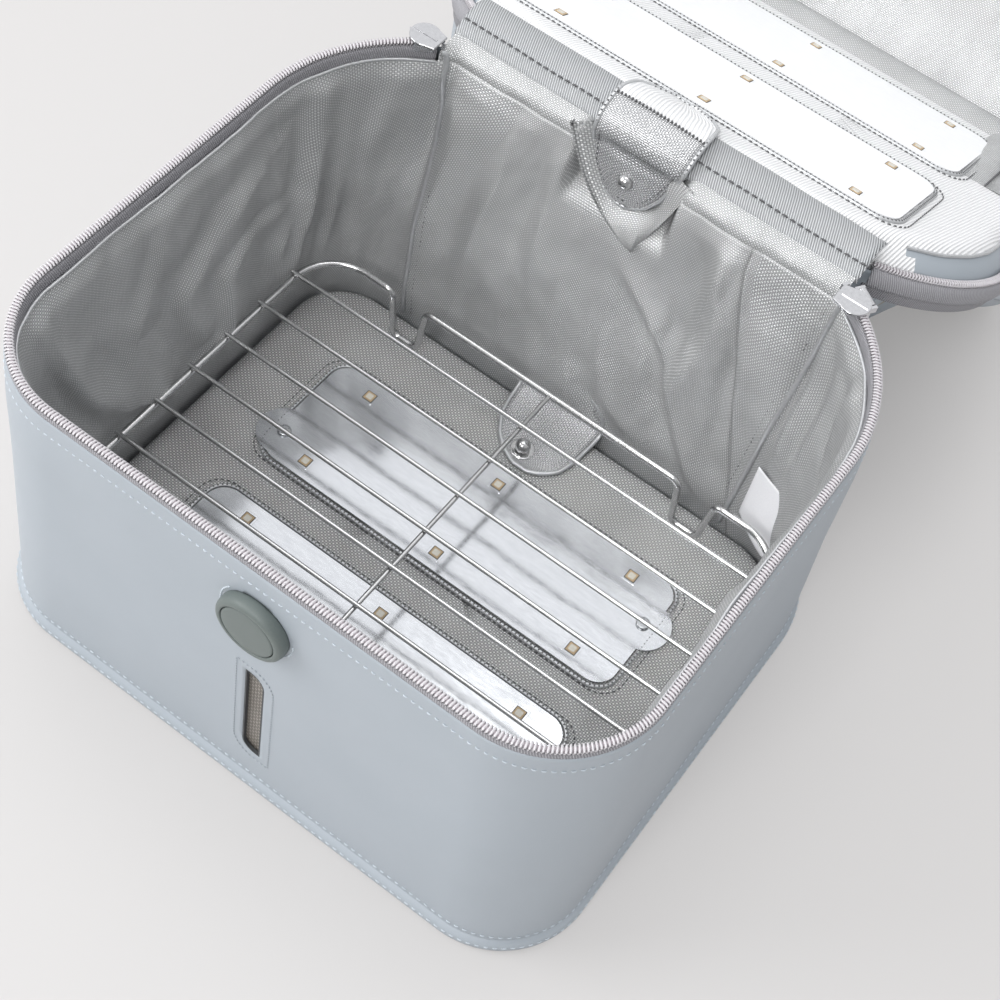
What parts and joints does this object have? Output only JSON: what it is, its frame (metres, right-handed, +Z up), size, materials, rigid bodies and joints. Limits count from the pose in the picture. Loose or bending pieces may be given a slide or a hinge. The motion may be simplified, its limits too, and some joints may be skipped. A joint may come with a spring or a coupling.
{
  "type": "UV sterilizing bag",
  "caption": "Soft zip-round box bag with its lid open, ultraviolet LED panels inside, a wire rack on the floor and a round push button in front.",
  "frame": {"origin": "centre of the underside of the bag's base, where it stands on the table", "axes": "+X along the long front side toward the right slider, -Y out of the front wall with the button, +Z up"},
  "size_m": [0.27, 0.4653, 0.1593],
  "materials": {
    "leather": "soft satin",
    "board": "matt",
    "dark_edge": "matt",
    "mesh": "woven",
    "lining": "silver weave",
    "piping": "satin",
    "film": "silver weave",
    "circuit": "matt",
    "led_body": "matt",
    "led_window": "clear",
    "rivet": "satin",
    "tag": "satin ribbon",
    "flap": "silver weave",
    "stud": "polished",
    "tape": "herringbone",
    "teeth": "satin",
    "nickel": "polished",
    "band": "ribbed",
    "button": "satin",
    "spring": "satin",
    "cell": "shrink sleeve",
    "holder": "matt",
    "cable": "matt",
    "wire": "polished",
    "foam": "open foam"
  },
  "bodies": {
    "bag": {"base_shell": "leather", "base_board": "board", "outer_wall": "leather", "wall_board": "board", "window_frame": "dark_edge", "window_mesh": "mesh", "body_lining": "lining", "lining_piping": "piping", "floor_pad": "lining", "floor_panel_rear": "film", "floor_panel_front": "film", "floor_led_boards": "circuit", "floor_leds": "led_body", "floor_led_windows": "led_window", "floor_rivets": "rivet", "care_tag": "tag", "upper_flap_wall": "flap", "lower_cable_flap": "flap", "snap_studs": "stud", "body_zip_tape": "tape", "body_zip_teeth": "teeth", "zip_stops": "nickel", "hinge_band_body": "band", "button_housing": "button", "switch_board": "circuit", "button_spring": "spring", "battery_cells": "cell", "battery_holder": "holder", "control_board": "circuit", "body_cable": "cable"},
    "lid": {"lid_cover": "leather", "lid_board": "board", "lid_foam": "foam", "lid_lining": "lining", "lid_piping": "leather", "lid_zip_tape": "tape", "lid_zip_teeth": "teeth", "hinge_band_lid": "band", "lid_panel_rear": "film", "lid_panel_front": "film", "lid_led_boards": "circuit", "lid_leds": "led_body", "lid_led_windows": "led_window", "upper_flap_lid": "flap"},
    "button": {"button_cap": "button"},
    "rack": {"rack_frame": "wire", "rack_cross_wires": "wire", "rack_spine": "wire"},
    "slider_left": {"zip_slider_left": "nickel"},
    "slider_right": {"zip_slider_right": "nickel"},
    "puller_left": {"zip_puller_left": "nickel"},
    "puller_right": {"zip_puller_right": "nickel"}
  },
  "joints": [
    {"name": "lid_hinge", "type": "hinge", "parent": "bag", "child": "lid", "pos_m": [0, 0.1205, 0.1581], "axis": [1, 0, 0], "range_deg": [0, 205]},
    {"name": "button_press", "type": "slide", "parent": "bag", "child": "button", "axis": [0, 0.9998, -0.0187], "range_m": [0, 0.0012], "stiffness_N_per_m": 400, "deforming": ["button_spring"]},
    {"name": "rack_lift", "type": "slide", "parent": "bag", "child": "rack", "axis": [0, 0, 1], "range_m": [0, 0.1]},
    {"name": "slider_right_travel", "type": "hinge", "parent": "bag", "child": "slider_right", "pos_m": [0.054, 0.043, 0.1577], "axis": [0, 0, -1], "range_deg": [0, 53]},
    {"name": "slider_left_travel", "type": "hinge", "parent": "bag", "child": "slider_left", "pos_m": [-0.054, 0.043, 0.1577], "axis": [0, 0, 1], "range_deg": [0, 48]},
    {"name": "puller_right_swing", "type": "hinge", "parent": "slider_right", "child": "puller_right", "pos_m": [0.09692, 0.10909, 0.1558], "axis": [0.8387, -0.5446, 0], "range_deg": [0, 95]},
    {"name": "puller_left_swing", "type": "hinge", "parent": "slider_left", "child": "puller_left", "pos_m": [-0.10251, 0.1051, 0.1558], "axis": [0.788, 0.6157, 0], "range_deg": [0, 95]}
  ]
}
